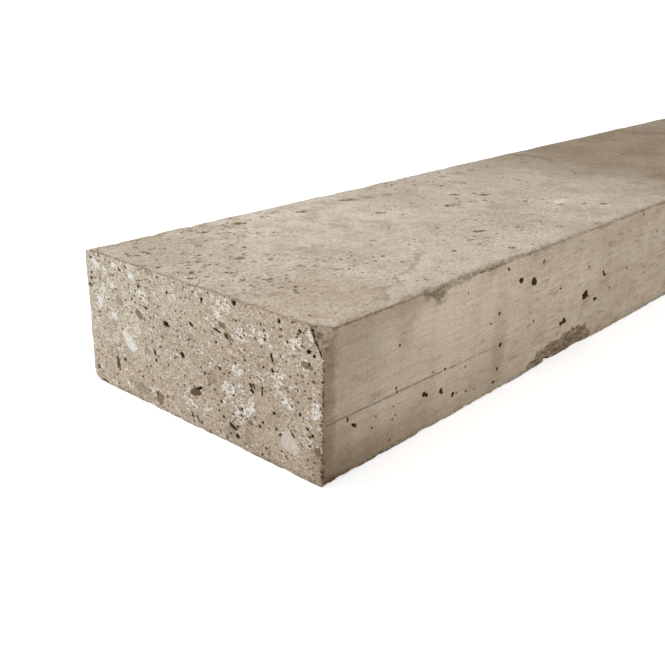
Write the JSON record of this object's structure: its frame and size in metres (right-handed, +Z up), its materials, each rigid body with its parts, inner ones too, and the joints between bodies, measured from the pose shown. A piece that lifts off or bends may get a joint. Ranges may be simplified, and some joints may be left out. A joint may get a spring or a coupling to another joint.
{
  "type": "prestressed concrete lintel",
  "caption": "Solid rectangular precast concrete lintel that spans an opening in a wall, with sawn ends, a trowelled top, blowholes and broken arrises.",
  "frame": {"origin": "middle of the underside, as the lintel lies", "axes": "+Y along the length, away from the near sawn end; +X across the width, towards the side with the blowholes; +Z up, through the depth, towards the trowelled top"},
  "size_m": [0.15, 0.9, 0.065],
  "materials": {
    "concrete": "rough"
  },
  "bodies": {
    "root": {"lintel": "concrete"}
  },
  "joints": []
}
